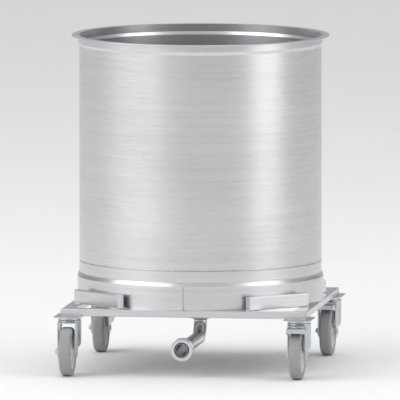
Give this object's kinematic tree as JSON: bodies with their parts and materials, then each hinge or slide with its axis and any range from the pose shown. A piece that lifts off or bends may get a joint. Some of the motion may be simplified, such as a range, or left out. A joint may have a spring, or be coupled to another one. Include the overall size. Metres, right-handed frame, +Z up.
{
  "type": "conical fermenter",
  "caption": "Open-topped cylindrical steel fermenting tank with a shallow conical bottom, skirt and front drain, standing on a square castor dolly with locating bars.",
  "frame": {"origin": "on the floor, under the middle of the overall box; the tank's axis stands 26 mm behind it", "axes": "+Z up, +X to the right, the drain points along -Y"},
  "size_m": [0.661, 0.741, 0.847],
  "materials": {
    "tank_steel": "satin, circumferential grain",
    "frame_steel": "satin, grain along the tube",
    "castor_steel": "pressed sheet, polished",
    "fastener_steel": "bright",
    "ball_steel": "polished",
    "wheel_plastic": "moulded",
    "tyre_rubber": "grey non-marking rubber",
    "seal_rubber": "moulded",
    "shoe_rubber": "moulded"
  },
  "bodies": {
    "root": {"front_beam": "frame_steel", "right_beam": "frame_steel", "rear_beam": "frame_steel", "left_beam": "frame_steel", "front_right_bar": "frame_steel", "rear_right_bar": "frame_steel", "rear_left_bar": "frame_steel", "front_left_bar": "frame_steel", "fl_castor_plate": "castor_steel", "fl_kingpin": "castor_steel", "fr_castor_plate": "castor_steel", "fr_kingpin": "castor_steel", "rl_castor_plate": "castor_steel", "rl_kingpin": "castor_steel", "rr_castor_plate": "castor_steel", "rr_kingpin": "castor_steel"},
    "tank": {"rim_ring": "tank_steel", "tank_shell": "tank_steel", "cone_bottom": "tank_steel", "skirt_ring": "tank_steel", "drain_elbow": "tank_steel", "drain_pipe": "tank_steel", "drain_union": "tank_steel", "drain_seal": "seal_rubber"},
    "fl_swivel": {"fl_fork": "castor_steel", "fl_balls": "ball_steel", "fl_axle_bolt": "fastener_steel", "fl_axle_nut": "fastener_steel", "fl_axle_sleeve": "fastener_steel"},
    "fl_wheel": {"fl_wheel_core": "wheel_plastic", "fl_tyre": "tyre_rubber"},
    "fr_swivel": {"fr_fork": "castor_steel", "fr_balls": "ball_steel", "fr_axle_bolt": "fastener_steel", "fr_axle_nut": "fastener_steel", "fr_axle_sleeve": "fastener_steel", "fr_brake_pin": "fastener_steel"},
    "fr_wheel": {"fr_wheel_core": "wheel_plastic", "fr_tyre": "tyre_rubber"},
    "fr_brake": {"fr_brake_pedal": "castor_steel", "fr_brake_shoe": "shoe_rubber"},
    "rl_swivel": {"rl_fork": "castor_steel", "rl_balls": "ball_steel", "rl_axle_bolt": "fastener_steel", "rl_axle_nut": "fastener_steel", "rl_axle_sleeve": "fastener_steel"},
    "rl_wheel": {"rl_wheel_core": "wheel_plastic", "rl_tyre": "tyre_rubber"},
    "rr_swivel": {"rr_fork": "castor_steel", "rr_balls": "ball_steel", "rr_axle_bolt": "fastener_steel", "rr_axle_nut": "fastener_steel", "rr_axle_sleeve": "fastener_steel", "rr_brake_pin": "fastener_steel"},
    "rr_wheel": {"rr_wheel_core": "wheel_plastic", "rr_tyre": "tyre_rubber"},
    "rr_brake": {"rr_brake_pedal": "castor_steel", "rr_brake_shoe": "shoe_rubber"}
  },
  "joints": [
    {"name": "tank_lift", "type": "slide", "parent": "root", "child": "tank", "axis": [0, 0, 1], "range_m": [0, 0.05]},
    {"name": "fl_swivel_turn", "type": "hinge", "parent": "root", "child": "fl_swivel", "pos_m": [-0.295, -0.269, 0.138], "axis": [0, 0, 1], "continuous": true},
    {"name": "fl_wheel_spin", "type": "hinge", "parent": "fl_swivel", "child": "fl_wheel", "pos_m": [-0.295, -0.308, 0.0625], "axis": [1, 0, 0], "continuous": true},
    {"name": "fr_swivel_turn", "type": "hinge", "parent": "root", "child": "fr_swivel", "pos_m": [0.295, -0.269, 0.138], "axis": [0, 0, 1], "continuous": true},
    {"name": "fr_wheel_spin", "type": "hinge", "parent": "fr_swivel", "child": "fr_wheel", "pos_m": [0.295, -0.308, 0.0625], "axis": [1, 0, 0], "continuous": true},
    {"name": "fr_brake_press", "type": "hinge", "parent": "fr_swivel", "child": "fr_brake", "pos_m": [0.295, -0.315, 0.1295], "axis": [1, 0, 0], "range_deg": [0, 10]},
    {"name": "rl_swivel_turn", "type": "hinge", "parent": "root", "child": "rl_swivel", "pos_m": [-0.295, 0.321, 0.138], "axis": [0, 0, 1], "continuous": true},
    {"name": "rl_wheel_spin", "type": "hinge", "parent": "rl_swivel", "child": "rl_wheel", "pos_m": [-0.295, 0.282, 0.0625], "axis": [1, 0, 0], "continuous": true},
    {"name": "rr_swivel_turn", "type": "hinge", "parent": "root", "child": "rr_swivel", "pos_m": [0.295, 0.321, 0.138], "axis": [0, 0, 1], "continuous": true},
    {"name": "rr_wheel_spin", "type": "hinge", "parent": "rr_swivel", "child": "rr_wheel", "pos_m": [0.295, 0.282, 0.0625], "axis": [1, 0, 0], "continuous": true},
    {"name": "rr_brake_press", "type": "hinge", "parent": "rr_swivel", "child": "rr_brake", "pos_m": [0.295, 0.275, 0.1295], "axis": [1, 0, 0], "range_deg": [0, 10]}
  ]
}
